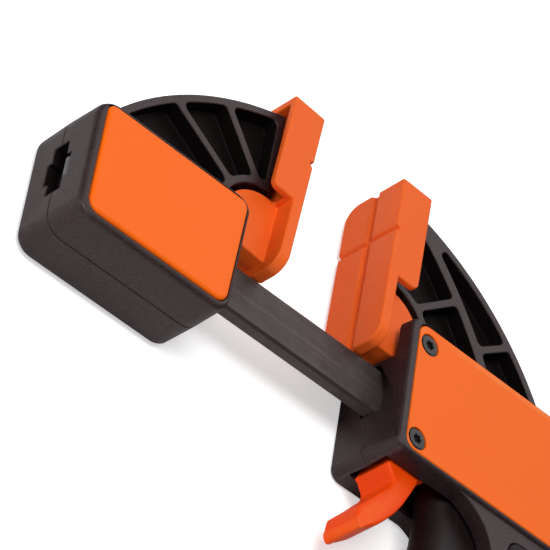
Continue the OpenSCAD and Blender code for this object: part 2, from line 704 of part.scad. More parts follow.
module moving_half() {
    difference() {
        union() {
            body_solids();
            difference() {
                linear_extrude(arm_w / 2) moving_arm_outline();
                translate([0, 0, arm_web / 2]) linear_extrude(arm_w) moving_pockets();
            }
            translate([moving_pivot_x, pivot_y, 0]) mirror([1, 0, 0]) tongue(-seat_r - wall);
            difference() {
                union() {
                    translate([0, 0, trigger_w / 2 + clear]) pin_boss(trigger_pivot, pin_d);
                    translate([0, 0, lever_w / 2 + clear]) pin_boss(lever_pivot, pin_d);
                }
                translate([body_x0, -body_bottom, zc - wall]) cube([body_len, body_bottom + body_top, zc]);
            }
            for (p = shell_screw_places) translate([p[0], p[1], 0])
                cylinder(r = shell_screw_boss, h = zc - wall);
        }
        // Recess of the side plate
        translate([0, 0, zc - plate_sunk - moving_plate_t - clear])
            linear_extrude(moving_plate_t + clear + plate_sunk + over)
            polygon(rounded(grown(moving_plate_corners, plate_gap)));
        // Passage of the bar and seats of its guides
        bar_passage(bar_gap, body_x0 - over, body_x1 + over);
        for (x = [front_guide_x, rear_guide_x]) translate([x, -guide_h / 2, -over])
            cube([guide_len, guide_h, guide_w / 2 + over]);
        translate([moving_pivot_x, pivot_y, -over]) cylinder(d = pad_pin_d + 2 * pin_gap, h = tongue_w);
        for (p = [trigger_pivot, lever_pivot]) translate([p[0], p[1], -over])
            cylinder(d = pin_d + 2 * pin_gap, h = zc - wall + over);
        for (p = shell_screw_places) translate([p[0], p[1], -over])
            cylinder(d = screw_d + 2 * pin_gap, h = jaw_w);
        // Recess of the grip
        translate([0, 0, zc - grip_drop - grip_t]) linear_extrude(grip_t + 2 * over)
            polygon(rounded(grown(grip_corners, clear)));
    }
}
module moving_jaw_near_shell() {
    color(black) near_side() difference() {
        moving_half();
        translate([body_x0 - over, 0, 0]) rotate([90, 0, 90]) linear_extrude(front_wall + over) mouth();
        for (p = shell_screw_places) translate([p[0], p[1], shell_screw_z])
            cylinder(d = shell_screw_head + clear, h = jaw_w);
        for (p = plate_screw_places) translate([p[0], p[1], zc - plate_screw_len - moving_plate_t])
            cylinder(d = screw_d + 2 * pin_gap, h = jaw_w);
    }
}
module moving_jaw_far_shell() {
    color(black) far_side() difference() {
        moving_half();
        for (p = shell_screw_places) translate([p[0], p[1], shell_screw_z])
            cylinder(d = (nut_w + clear) / cos(30), h = jaw_w, $fn = 6);
    }
}
module moving_plate() {
    bevelled(moving_plate_corners, zc - plate_sunk - moving_plate_t, zc - plate_sunk, moving_plate_bevel);
}
module moving_jaw_near_plate() {
    color(orange) near_side() difference() {
        moving_plate();
        for (p = plate_screw_places) translate([p[0], p[1], 0])
            cylinder(d = screw_head_d + 2 * clear, h = jaw_w);
    }
}
module moving_jaw_far_plate() {
    color(orange) far_side() moving_plate();
}
plate_screw_tail = 4;
module plate_screws() {
    z1 = zc - plate_sunk - clear / 2;
    z0 = zc - plate_sunk - moving_plate_t - clear;
    color(black) near_side() for (p = plate_screw_places) translate([p[0], p[1], 0]) difference() {
        union() {
            translate([0, 0, z0]) cylinder(d = screw_head_d, h = z1 - z0 - head_chamfer);
            translate([0, 0, z0]) cylinder(d = screw_head_d - 2 * head_chamfer, h = z1 - z0);
            translate([0, 0, z0 - plate_screw_tail]) cylinder(d = screw_d, h = plate_screw_tail + over);
        }
        translate([0, 0, z1 - plate_screw_head_h]) torx(screw_head_d / 2, jaw_w);
    }
}
head_chamfer = 0.5;
module shell_screws() {
    color(zinc) near_side() for (p = shell_screw_places) translate([p[0], p[1], 0]) difference() {
        union() {
            translate([0, 0, -shell_screw_z - nut_t]) cylinder(d = screw_d, h = 2 * shell_screw_z + nut_t);
            translate([0, 0, shell_screw_z]) cylinder(d = shell_screw_head, h = head_screw_head_h);
        }
        translate([0, 0, shell_screw_z + clear]) torx(screw_d, jaw_w);
    }
}
module shell_nuts() {
    z0 = -shell_screw_z - nut_t;
    color(zinc) near_side() for (p = shell_screw_places) translate([p[0], p[1], z0]) difference() {
        cylinder(d = nut_w / cos(30), h = nut_t, $fn = 6);
        translate([0, 0, -over]) cylinder(d = screw_d + 2 * pin_gap, h = nut_t + 2 * over);
    }
}
module grip() {
    difference() {
        bevelled(grip_corners, zc - grip_drop - grip_t, zc - grip_drop + grip_proud, grip_proud);
        for (p = shell_screw_places) translate([p[0], p[1], 0])
            cylinder(d = (nut_w + clear) / cos(30), h = jaw_w);
    }
}
module handle_near_grip() {
    color(black) near_side() grip();
}
module handle_far_grip() {
    color(black) far_side() grip();
}
guide_slack = 0.15;
module guide(x) {
    color(black) near_side() difference() {
        translate([x + guide_slack, guide_slack - guide_h / 2, guide_slack - guide_w / 2])
            cube([guide_len - 2 * guide_slack, guide_h - 2 * guide_slack, guide_w - 2 * guide_slack]);
        along_bar(x - over, x + guide_len + over) bar_section(guide_gap);
    }
}
module front_bar_guide() {
    guide(front_guide_x);
}
module rear_bar_guide() {
    guide(rear_guide_x);
}

// Brake and release

brake_t = 3;
brake_lean = 3;
brake_top = 16.5;
brake_w = 15;
brake_foot = 12.8;
tail_w = 7;
tail_foot = 20.5;
slot_slack = 0.7;
brake_coils = 3.5;
module brake_plate() {
    color(zinc) translate([brake_x, brake_top, zc]) rotate(brake_lean) difference() {
        union() {
            translate([-brake_t / 2, -brake_top - brake_foot, -brake_w / 2])
                cube([brake_t, brake_top + brake_foot, brake_w]);
            translate([-brake_t / 2, -brake_top - tail_foot, -tail_w / 2]) cube([brake_t, tail_foot, tail_w]);
        }
        bar_h_slot = bar_h + 2 * slot_slack;
        translate([-brake_t, -brake_top - bar_h_slot / 2, -bar_t / 2 - slot_slack / 2])
            cube([2 * brake_t, bar_h_slot, bar_t + slot_slack]);
    }
}
// Spring wound round the bar from x0 to x1, its end turns closer
coil_gap = 0.5;
coil_steps = 8;
coil_sides = 6;
spring_clear = 1.8;
spring_step = 0.4;
spring_r = bar_h / 2 + spring_clear;
module coil(x0, x1, r, wire, turns) {
    steps = coil_steps;
    sides = coil_sides;
    closer = wire + coil_gap;
    middle = (x1 - x0 - wire - 2 * closer) / (turns - 2);
    n = round(turns * steps);
    function lift(t) = closer * min(t, 1) + middle * max(min(t - 1, turns - 2), 0)
        + closer * max(t - turns + 1, 0);
    points = [for (i = [0:n]) let (a = i * 360 / steps, q = wire / 2) for (j = [0:sides - 1])
        let (b = j * 360 / sides)
        [x0 + q + lift(i / steps) + q * sin(b), (r + q * cos(b)) * cos(a), (r + q * cos(b)) * sin(a)]];
    faces = concat([[for (j = [sides - 1:-1:0]) j]],
        [for (i = [0:n - 1], j = [0:sides - 1]) let (k = (j + 1) % sides)
            [i * sides + j, i * sides + k, (i + 1) * sides + k]],
        [for (i = [0:n - 1], j = [0:sides - 1]) let (k = (j + 1) % sides)
            [i * sides + j, (i + 1) * sides + k, (i + 1) * sides + j]],
        [[for (j = [0:sides - 1]) n * sides + j]]);
    echo(least_gap = min(closer, middle) * cos(180 / sides) - wire);
    polyhedron(points, faces);
}
module brake_spring() {
    color(zinc) near_side() coil(body_x0 + front_block + clear, brake_x - brake_t / 2 - drive_gap,
        spring_r - spring_step, brake_wire, brake_coils);
}
// Lever's side outline, from the top front corner down the finger face to the tip and back up
lever_l = 40;
lever_shares = [[-0.247, -0.1625], [-0.212, -0.225], [-0.162, -0.3075], [-0.187, -0.39], [-0.244, -0.465],
    [-0.367, -0.62], [-0.487, -0.765], [-0.512, -0.8125], [-0.519, -0.92], [-0.497, -0.985], [-0.452, -1.005],
    [-0.344, -0.92], [-0.239, -0.825], [-0.127, -0.6825], [-0.032, -0.5375], [0.046, -0.3725], [0.103, -0.24],
    [0.138, -0.1375]];
lever_top = 9;
lever_back = 12.2;
lever_front = 4;
lever_slot_x0 = 4.4;
lever_slot_x1 = 9.8;
lever_slot_foot = 1;
lever_slot_gap = 0.6;
module release_lever() {
    pts = smooth_line([for (s = lever_shares) s * lever_l], 3);
    color(orange) translate([lever_pivot[0], lever_pivot[1], zc]) difference() {
        translate([0, 0, -lever_w / 2]) linear_extrude(lever_w)
            polygon(concat(pts, [[lever_back, 0], [lever_back, lever_top], [-lever_front, lever_top]]));
        translate([0, 0, -lever_w]) cylinder(d = pin_d + 2 * pin_gap, h = 2 * lever_w);
        translate([lever_slot_x0, lever_slot_foot, -tail_w / 2 - lever_slot_gap])
            cube([lever_slot_x1 - lever_slot_x0, lever_l, tail_w + 2 * lever_slot_gap]);
    }
}
works_pin_len = 2 * (zc - wall - pin_end_gap);
module release_lever_pin() {
    color(zinc) translate([lever_pivot[0], lever_pivot[1], zc - works_pin_len / 2])
        cylinder(d = pin_d, h = works_pin_len);
}

// Drive

drive_t = 3;
drive_w = 22;
drive_top = 15;
drive_foot = 17;
drive_gap = 0.2;
drive_slack = 0.25;
drive_pitch_share = 2.5;
module drive_plates() {
    color(zinc) for (i = [0:1]) translate([drive_x + i * (drive_t + drive_gap), 0, zc]) difference() {
        translate([0, -drive_foot, -drive_w / 2]) cube([drive_t, drive_foot + drive_top, drive_w]);
        translate([-over, -bar_h / 2 - slot_slack / 2, -bar_t / 2 - slot_slack / 2])
            cube([drive_t + 2 * over, bar_h + slot_slack, bar_t + slot_slack]);
    }
}
drive_x1 = body_x1 - rear_block - drive_slack;
drive_x0 = drive_x + 2 * drive_t + drive_gap + drive_slack;
drive_coils = max(3, floor((drive_x1 - drive_x0) / (drive_pitch_share * drive_wire)));
module drive_spring() {
    color(zinc) near_side() coil(drive_x0, drive_x1, spring_r, drive_wire, drive_coils);
}

// Trigger, from below the bar down to its toe
trigger_l = 120;
// Levels from the trigger's bridge to its toe, each with its front and its rear edge
trigger_shares = [[0, -0.044, 0.05], [0.061, -0.041, 0.055], [0.129, -0.038, 0.095],
    [0.211, -0.036, 0.135], [0.279, -0.035, 0.16], [0.374, -0.038, 0.181], [0.456, -0.043, 0.183],
    [0.551, -0.051, 0.166], [0.646, -0.06, 0.133], [0.741, -0.069, 0.087], [0.823, -0.078, 0.045],
    [0.891, -0.09, 0.01], [0.946, -0.104, -0.022], [0.98, -0.11, -0.042], [1, -0.1, -0.062]];
nose_deep = 8;
nose_share = 0.62;
nose_parts = 10;
rear_round = 1.4;
trigger_eye = 6.5;
trigger_lap = 4;
// Depth of the bridge under the bar, below the pivot
trigger_drop = trigger_pivot[1] + bar_h / 2 + bridge_gap;
trigger_wall = 3;
trigger_hollow_x = 1.5;
trigger_hollow_share = 0.35;
// One level of the blade, with a half round front
function blade_level(s) = let (x0 = s[1] * trigger_l, x1 = s[2] * trigger_l, h = trigger_w / 2,
    y = -trigger_drop - s[0] * (trigger_l - trigger_drop), deep = min(nose_deep, nose_share * (x1 - x0)))
    concat([for (i = [0:nose_parts]) let (a = 90 + 180 * i / nose_parts)
        [x0 + deep + deep * cos(a), y, h * sin(a)]],
    [[x1 - rear_round, y, -h], [x1, y, rear_round - h], [x1, y, h - rear_round], [x1 - rear_round, y, h]]);
module trigger_blade() {
    sides = nose_parts + 5;
    last = len(trigger_shares) - 1;
    points = [for (s = trigger_shares) each blade_level(s)];
    faces = concat([[for (j = [0:sides - 1]) j]],
        [for (i = [0:last - 1], j = [0:sides - 1]) let (k = (j + 1) % sides)
            [i * sides + j, (i + 1) * sides + k, i * sides + k]],
        [for (i = [0:last - 1], j = [0:sides - 1]) let (k = (j + 1) % sides)
            [i * sides + j, (i + 1) * sides + j, (i + 1) * sides + k]],
        [[for (j = [sides - 1:-1:0]) last * sides + j]]);
    polyhedron(points, faces);
}
module trigger() {
    color(black) translate([trigger_pivot[0], trigger_pivot[1], zc]) difference() {
        union() {
            trigger_blade();
            for (s = [-1, 1]) translate([0, 0, s * (trigger_w - trigger_cheek) / 2 - trigger_cheek / 2]) {
                cylinder(r = trigger_eye, h = trigger_cheek);
                translate([-trigger_arm / 2, -trigger_drop - trigger_lap, 0])
                    cube([trigger_arm, trigger_lap + trigger_drop, trigger_cheek]);
                // Nose that pushes the drive plates
                translate([trigger_arm / 2 - over, -trigger_pivot[1] - bar_h / 2 - trigger_wall, 0])
                    cube([trigger_nose + over, trigger_wall, trigger_cheek]);
            }
        }
        cylinder(d = pin_d + 2 * pin_gap, h = 2 * trigger_w, center = true);
        // Hollow of the trigger, open to the rear
        translate([trigger_hollow_x, -trigger_l, trigger_wall - trigger_w / 2])
            cube([trigger_l, trigger_l * (1 - trigger_hollow_share), trigger_w - 2 * trigger_wall]);
    }
}
module trigger_pin() {
    color(zinc) translate([trigger_pivot[0], trigger_pivot[1], zc - works_pin_len / 2])
        cylinder(d = pin_d, h = works_pin_len);
}

bar();
bar_end_stop();
fixed_jaw_near_shell();
fixed_jaw_far_shell();
fixed_jaw_near_plate();
fixed_jaw_far_plate();
bar_retaining_pin();
bar_retaining_clip();
fixed_jaw_screws();
fixed_pad();
fixed_pad_pin();
moving_jaw_near_shell();
moving_jaw_far_shell();
moving_jaw_near_plate();
moving_jaw_far_plate();
plate_screws();
shell_screws();
shell_nuts();
handle_near_grip();
handle_far_grip();
front_bar_guide();
rear_bar_guide();
moving_pad();
moving_pad_pin();
brake_plate();
brake_spring();
release_lever();
release_lever_pin();
drive_plates();
drive_spring();
trigger();
trigger_pin();
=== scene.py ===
"""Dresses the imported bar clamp: moulded shells, soft pads, worn bar, springs, stage and camera."""

import json
import math

import bmesh
import bpy
from mathutils import Matrix, Vector
from mathutils.bvhtree import BVHTree
from mathutils.geometry import intersect_point_line

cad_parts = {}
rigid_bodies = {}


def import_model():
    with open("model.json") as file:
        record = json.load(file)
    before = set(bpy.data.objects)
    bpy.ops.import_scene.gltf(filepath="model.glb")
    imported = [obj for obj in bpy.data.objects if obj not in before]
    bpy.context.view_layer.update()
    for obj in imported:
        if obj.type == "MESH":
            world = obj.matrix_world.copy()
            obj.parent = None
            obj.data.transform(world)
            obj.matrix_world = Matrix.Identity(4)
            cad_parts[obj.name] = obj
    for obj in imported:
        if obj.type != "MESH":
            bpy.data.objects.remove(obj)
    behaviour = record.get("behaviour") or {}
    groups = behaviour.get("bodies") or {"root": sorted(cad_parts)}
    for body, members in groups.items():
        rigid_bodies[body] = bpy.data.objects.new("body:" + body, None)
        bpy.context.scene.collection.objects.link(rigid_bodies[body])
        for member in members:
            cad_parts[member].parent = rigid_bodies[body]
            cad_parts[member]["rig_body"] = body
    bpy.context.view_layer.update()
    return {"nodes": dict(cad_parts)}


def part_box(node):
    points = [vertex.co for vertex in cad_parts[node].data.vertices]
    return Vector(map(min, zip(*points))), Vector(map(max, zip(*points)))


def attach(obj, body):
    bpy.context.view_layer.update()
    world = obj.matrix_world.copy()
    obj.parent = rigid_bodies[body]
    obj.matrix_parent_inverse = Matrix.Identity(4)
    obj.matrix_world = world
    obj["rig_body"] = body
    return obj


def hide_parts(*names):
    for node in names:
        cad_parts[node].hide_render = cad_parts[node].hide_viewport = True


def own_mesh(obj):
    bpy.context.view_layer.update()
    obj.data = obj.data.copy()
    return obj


bl_info = {
    "name": "Bar clamp dressing",
    "version": (1, 0, 0),
    "blender": (4, 5, 0),
    "location": "View3D > Sidebar > Bar clamp",
    "description": "Builds the moulded, rubber and steel surfaces of a quick release bar clamp",
    "category": "Object",
}

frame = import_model()
MM = 0.001

# Tracing: how close corners merge, and how many degrees apart facets still count as one
MERGE = 0.05 * MM
FLAT_ANGLE = 0.3
# Tries at rounding without folds: the first halve a width, the later ones give up an edge
TRIES = 12
HALVINGS = 3
# Tries in which only an edge close to a fault gives way, and how close that is then and later, in widths
NARROW_TRIES = 8
NARROW_REACH = 0.8
WIDE_REACH = 1.6
# A fault is a corner this many widths off, or a face this near whose normal has turned this far back
FLUNG = 1.05
NEAR = 0.5
TURNED_BACK = -0.2
# Faces smaller than a sliver don't count, and faults in one cell of the grid are one
SLIVER = MM * MM * 1e-5
FAULT_GRID = 0.3 * MM
# How much broad faces outweigh narrow ones in the shading, and the angle past which a coil's edges stay sharp
FACE_WEIGHT = 80
COIL_SHARP = 40

# Middle and half width of the arms, their rim, the height where they start, and the widest pocket
MIDDLE = 17.5 * MM
ARM_HALF = 8 * MM
ARM_RIM = 0.7 * MM
ARM_FOOT = 27 * MM
POCKET_SPAN = 70 * MM
# Painted shade goes on the faces that the next values find, in the arms' pockets and in the bar's hollow
# Sideways share of a normal below which a face is a pocket's floor, and how far off a face a ray starts
FLOOR_TILT = 0.3
RAY_LIFT = 0.05 * MM
# Half width and half height of the hollow that holds the bar, and how far in it starts
HOLLOW_Y = 11.5 * MM
HOLLOW_Z = 7 * MM
HOLLOW_IN = 0.6 * MM
# Share of a normal along X that marks an end face, and share along both Y and Z that marks a chamfer
END_SHARE = 0.9
CHAMFER_SHARE = 0.5

# Pads: share of the rounding on crisp edges, half widths of the two grooves, and how level their edges are
CRISP_SHARE = 0.3
GROOVE_HALF = 2.5 * MM
CROSS_HALF = 1.8 * MM
GROOVE_LEVEL = 0.1 * MM
# How far the cross groove lies below the pad's tip
CROSS_BELOW_TIP = 24.6 * MM

# Each spring's node, the name of its coil, its turns and the thickness of its wire
SPRINGS = (("drive_spring", "drive_coil", 8, 1.5 * MM), ("brake_spring", "brake_coil", 3.5, 1.0 * MM))
WIRE_SIDES = 12
STEPS_PER_TURN = 28


class ClampEdges(bpy.types.PropertyGroup):
    """Roundings of the pieces' edges."""

    shell: bpy.props.FloatProperty(
        name="Shell edges", description="Rounding of the moulded shells", default=0.5 * MM, unit="LENGTH")
    plate: bpy.props.FloatProperty(
        name="Plate edges", description="Rounding of the moving jaw's plates and of the grips",
        default=0.35 * MM, unit="LENGTH")
    head_plate: bpy.props.FloatProperty(
        name="Head plate edges", description="Rounding of the fixed jaw's plates",
        default=0.55 * MM, unit="LENGTH")
    pad: bpy.props.FloatProperty(
        name="Pad edges", description="Rounding of the soft pads", default=0.7 * MM, unit="LENGTH")
    lever: bpy.props.FloatProperty(
        name="Lever edges", description="Rounding of the release lever", default=1.1 * MM, unit="LENGTH")
    trigger: bpy.props.FloatProperty(
        name="Trigger edges", description="Rounding of the trigger", default=0.8 * MM, unit="LENGTH")
    bar: bpy.props.FloatProperty(
        name="Bar edges", description="Rounding of the bar's chamfers", default=0.15 * MM, unit="LENGTH")


class ClampColours(bpy.types.PropertyGroup):
    """Colours of the finishes."""

    shell: bpy.props.FloatVectorProperty(
        name="Shells", description="Moulded nylon of the shells", default=(0.015, 0.006, 0.0075),
        subtype="COLOR", size=3, min=0, max=1)
    plate: bpy.props.FloatVectorProperty(
        name="Plates", description="Orange moulding of the plates", default=(0.95, 0.142, 0.003),
        subtype="COLOR", size=3, min=0, max=1)
    lever: bpy.props.FloatVectorProperty(
        name="Lever", description="Deeper orange moulding of the release lever", default=(0.9, 0.062, 0.0),
        subtype="COLOR", size=3, min=0, max=1)
    pad: bpy.props.FloatVectorProperty(
        name="Pads", description="Soft orange moulding of the pads", default=(0.86, 0.125, 0.012),
        subtype="COLOR", size=3, min=0, max=1)
    bar: bpy.props.FloatVectorProperty(
        name="Bar", description="Dark finish of the bar", default=(0.024, 0.016, 0.015),
        subtype="COLOR", size=3, min=0, max=1)
    grip: bpy.props.FloatVectorProperty(
        name="Grip", description="Soft skin of the handle", default=(0.014, 0.01, 0.011),
        subtype="COLOR", size=3, min=0, max=1)
    floor: bpy.props.FloatVectorProperty(
        name="Floor", description="Plain floor", default=(0.9, 0.9, 0.9),
        subtype="COLOR", size=3, min=0, max=1)


def edges():
    return bpy.context.scene.clamp_edges


def colours():
    return bpy.context.scene.clamp_colours


def settle():
    """Leaves nothing selected, in object mode."""
    if bpy.context.object and bpy.context.object.mode != "OBJECT":
        bpy.ops.object.mode_set(mode="OBJECT")
    bpy.ops.object.select_all(action="DESELECT")


def pick(piece):
    """Makes one piece the only one selected."""
    settle()
    piece.select_set(True)
    bpy.context.view_layer.objects.active = piece


def body_of(node):
    return frame["nodes"][node]["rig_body"]


def modify(piece, kind, **values):
    """Adds a modifier with these values and applies it."""
    pick(piece)
    modifier = piece.modifiers.new(kind.title(), kind)
    for key, value in values.items():
        setattr(modifier, key, value)
    bpy.ops.object.modifier_apply(modifier=modifier.name)


def smooth(piece, degrees):
    pick(piece)
    bpy.ops.object.shade_smooth_by_angle(angle=math.radians(degrees))


def finish_piece(piece, material, body, replaced):
    """Gives a piece its material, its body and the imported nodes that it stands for."""
    piece.data.materials.clear()
    piece.data.materials.append(material)
    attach(piece, body)
    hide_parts(*replaced)


def traced(node, name):
    """A joined-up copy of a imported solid, with its flat facets made whole."""
    source = frame["nodes"][node]
    piece = bpy.data.objects.new(name, source.data.copy())
    bpy.context.scene.collection.objects.link(piece)
    pick(piece)
    bpy.ops.object.mode_set(mode="EDIT")
    bpy.ops.mesh.select_all(action="SELECT")
    bpy.ops.mesh.remove_doubles(threshold=MERGE)
    bpy.ops.mesh.dissolve_limited(angle_limit=math.radians(FLAT_ANGLE))
    bpy.ops.object.mode_set(mode="OBJECT")
    return piece


def surface_of(mesh):
    """The mesh as a tree that finds its nearest point, or where a ray meets it."""
    corners = [corner.co for corner in mesh.vertices]
    return BVHTree.FromPolygons(corners, [face.vertices for face in mesh.polygons])


def sharp_edges(mesh, degrees):
    """Numbers of the edges where two faces meet at more than this angle."""
    graph = bmesh.new()
    graph.from_mesh(mesh)
    found = [edge.index for edge in graph.edges
             if len(edge.link_faces) == 2 and edge.calc_face_angle() > math.radians(degrees)]
    graph.free()
    return found


def folds(mesh, before, width):
    """Corners that a rounding has flung away from the surface it started from, or folded over it."""
    spots = [corner.co for corner in mesh.vertices
             if before.find_nearest(corner.co)[3] > FLUNG * width]
    for face in mesh.polygons:
        _, normal, _, away = before.find_nearest(face.center)
        if away < NEAR * width and normal.dot(face.normal) < TURNED_BACK and face.area > SLIVER:
            spots += [mesh.vertices[corner].co for corner in face.vertices]
    return {tuple(round(value / FAULT_GRID) for value in spot): spot.copy() for spot in spots}.values()


def beside(spots, ends, reach):
    """Whether one of the spots is this close to an edge."""
    for spot in spots:
        foot, share = intersect_point_line(spot, *ends)
        if share < 0:
            foot = ends[0]
        elif share > 1:
            foot = ends[1]
        if (foot - spot).length < reach:
            return True
    return False


def round_over(piece, width, segments, degrees, crisp):
    """Rounds every sharp edge, less where it is crisp or where a thin strip would fold."""
    first = piece.data
    before = surface_of(first)
    ends = {number: [first.vertices[corner].co for corner in first.edges[number].vertices]
            for number in sharp_edges(first, degrees)}
    shares = {number: CRISP_SHARE if crisp and crisp(*pair) else 1.0 for number, pair in ends.items()}
    for attempt in range(TRIES):
        piece.data = first.copy()
        given = piece.data.attributes.new("bevel_weight_edge", "FLOAT", "EDGE")
        for number, share in shares.items():
            given.data[number].value = share
        modify(piece, "BEVEL", width=width, segments=segments, limit_method="WEIGHT",
               use_clamp_overlap=False, loop_slide=False)
        spots = folds(piece.data, before, width)
        if not spots:
            return
        reach = (NARROW_REACH if attempt < NARROW_TRIES else WIDE_REACH) * width
        for number, share in shares.items():
            if share > 0 and beside(spots, ends[number], reach):
                shares[number] = share / 2 if attempt < HALVINGS else 0.0


def moulded(node, name, material, width, segments=2, sharp=35, crisp=None):
    """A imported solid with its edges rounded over."""
    piece = traced(node, name)
    round_over(piece, width, segments, sharp, crisp)
    smooth(piece, sharp)
    modify(piece, "WEIGHTED_NORMAL", weight=FACE_WEIGHT, keep_sharp=True)
    finish_piece(piece, material, body_of(node), (node,))
    return piece


# Picks the faces that get painted shade, where shade falls in the arms' pockets
def in_pocket(face, tree):
    """Whether a face lies in a pocket of an arm, on its web, its walls or the fillet between them."""
    if face.center.y < ARM_FOOT or abs(face.center.z - MIDDLE) > ARM_HALF - ARM_RIM:
        return False
    sideways = Vector((face.normal.x, face.normal.y, 0))
    if sideways.length < FLOOR_TILT:
        return True
    start = face.center + face.normal * RAY_LIFT
    return tree.ray_cast(start, sideways.normalized(), POCKET_SPAN)[0] is not None


# Picks the faces that get painted shade inside the bar's hollow
def in_bar_hollow(face, low, high):
    """Whether a face lies in the hollow round the bar, past the piece's end faces."""
    if abs(face.normal.x) > END_SHARE or not low.x + HOLLOW_IN < face.center.x < high.x - HOLLOW_IN:
        return False
    return abs(face.center.y) < HOLLOW_Y and abs(face.center.z - MIDDLE) < HOLLOW_Z


def add_finish(piece, material, chosen):
    """Gives the chosen faces of a piece a second material."""
    piece.data.materials.append(material)
    for face in piece.data.polygons:
        if chosen(face):
            face.material_index = 1


def in_grooves(first, second, cross):
    """Whether an edge runs along the pad's long groove or its cross groove."""
    ends = (first, second)
    along = all(abs(end.z - MIDDLE) < GROOVE_HALF for end in ends)
    across = all(abs(end.y - cross) < CROSS_HALF for end in ends)
    return (along and abs(first.z - second.z) < GROOVE_LEVEL
            or across and abs(first.y - second.y) < GROOVE_LEVEL)


# Materials

# Sockets of the Mix node that blend colours
MIX_FACTOR, MIX_FIRST, MIX_SECOND, MIX_RESULT = 0, 6, 7, 2
# Half width of the parting line, how many of them away it is gone, and its colour
SEAM_HALF = 0.14 * MM
SEAM_FADE = 1.6
SEAM_COLOUR = (0.004, 0.004, 0.004, 1)
# How steeply wear and scratches set in
WEAR_STEEPNESS = 12.0
SCRATCH_STEEPNESS = 8.0
# Scratches: how far they are drawn out, how much they pale the steel, and how deep they look
SCRATCH_STRETCH = (0.03, 1.0, 1.0)
SCRATCH_TINT = 0.12
SCRATCH_STRENGTH = 0.15
SCRATCH_DEPTH = 0.02 * MM
# How far clouds vary the steel's roughness, and how deep the mould grain is
CLOUD_ROUGHNESS = 0.2
GRAIN_DEPTH = 0.05 * MM
# Middle of a noise's values, share of the broad mottle, and the darkest that a mottled colour gets
NOISE_MIDDLE = 0.5
BROAD_SHARE = 0.3
DARKEST = 0.1
# Tint and plain white of the gloss
WARM = (1.0, 0.84, 0.85)
PLAIN = (1, 1, 1)
GROUPS = {}
MATERIALS = {}


def new_group(name, inputs, outputs):
    """A shader group with its sockets, and the nodes that stand for them."""
    group = bpy.data.node_groups.new(name, "ShaderNodeTree")
    for label, kind, value in inputs:
        socket = group.interface.new_socket(label, in_out="INPUT", socket_type=kind)
        socket.default_value = value
    for label, kind in outputs:
        group.interface.new_socket(label, in_out="OUTPUT", socket_type=kind)
    return group, group.nodes.new("NodeGroupInput"), group.nodes.new("NodeGroupOutput")


def math_node(tree, operation, first, second=0.0, clamp=False):
    node = tree.nodes.new("ShaderNodeMath")
    node.operation = operation
    node.use_clamp = clamp
    for socket, value in zip(node.inputs, (first, second)):
        if isinstance(value, (int, float)):
            socket.default_value = value
        else:
            tree.links.new(value, socket)
    return node.outputs[0]


def object_place(tree):
    return tree.nodes.new("ShaderNodeTexCoord").outputs["Object"]


def noise(tree, where, scale, detail):
    node = tree.nodes.new("ShaderNodeTexNoise")
    tree.links.new(where, node.inputs["Vector"])
    if isinstance(scale, (int, float)):
        node.inputs["Scale"].default_value = scale
    else:
        tree.links.new(scale, node.inputs["Scale"])
    node.inputs["Detail"].default_value = detail
    return node.outputs["Fac"]


def blend_colours(tree, factor, first, second):
    node = tree.nodes.new("ShaderNodeMix")
    node.data_type = "RGBA"
    for number, value in ((MIX_FACTOR, factor), (MIX_FIRST, first), (MIX_SECOND, second)):
        if hasattr(value, "is_linked"):
            tree.links.new(value, node.inputs[number])
        else:
            node.inputs[number].default_value = value
    return node.outputs[MIX_RESULT]


def grain_group():
    """Spark-eroded mould grain: a mottled colour, a roughness and a height."""
    group, given, put = new_group(
        "mould grain",
        [("Colour", "NodeSocketColor", (0.1, 0.1, 0.1, 1)), ("Grain Scale", "NodeSocketFloat", 3500.0),
         ("Mottle", "NodeSocketFloat", 0.25), ("Rough Low", "NodeSocketFloat", 0.4),
         ("Rough High", "NodeSocketFloat", 0.6)],
        [("Colour", "NodeSocketColor"), ("Roughness", "NodeSocketFloat"), ("Height", "NodeSocketFloat")])
    where = object_place(group)
    fine = noise(group, where, given.outputs["Grain Scale"], detail=1.0)
    broad = noise(group, where, scale=60.0, detail=3.0)
    lift, wide = (math_node(group, "MULTIPLY", math_node(group, "SUBTRACT", level, NOISE_MIDDLE),
                            given.outputs["Mottle"]) for level in (fine, broad))
    mottle = math_node(group, "ADD", lift, math_node(group, "MULTIPLY", wide, BROAD_SHARE))
    scaled = group.nodes.new("ShaderNodeVectorMath")
    scaled.operation = "SCALE"
    group.links.new(given.outputs["Colour"], scaled.inputs[0])
    group.links.new(math_node(group, "MAXIMUM", math_node(group, "ADD", mottle, 1.0), DARKEST),
                    scaled.inputs["Scale"])
    group.links.new(scaled.outputs[0], put.inputs["Colour"])
    span = math_node(group, "SUBTRACT", given.outputs["Rough High"], given.outputs["Rough Low"])
    rough = math_node(group, "ADD", math_node(group, "MULTIPLY", span, broad), given.outputs["Rough Low"])
    group.links.new(rough, put.inputs["Roughness"])
    group.links.new(fine, put.inputs["Height"])
    return group


def seam_group():
    """Thin dark line where the two half shells meet."""
    group, given, put = new_group(
        "parting line",
        [("Height", "NodeSocketFloat", MIDDLE), ("Half Width", "NodeSocketFloat", SEAM_HALF)],
        [("Mask", "NodeSocketFloat")])
    apart = group.nodes.new("ShaderNodeSeparateXYZ")
    group.links.new(object_place(group), apart.inputs[0])
    off = math_node(group, "SUBTRACT", apart.outputs["Z"], given.outputs["Height"])
    ratio = math_node(group, "DIVIDE", math_node(group, "ABSOLUTE", off), given.outputs["Half Width"])
    group.links.new(math_node(group, "SUBTRACT", SEAM_FADE, ratio, clamp=True), put.inputs["Mask"])
    return group


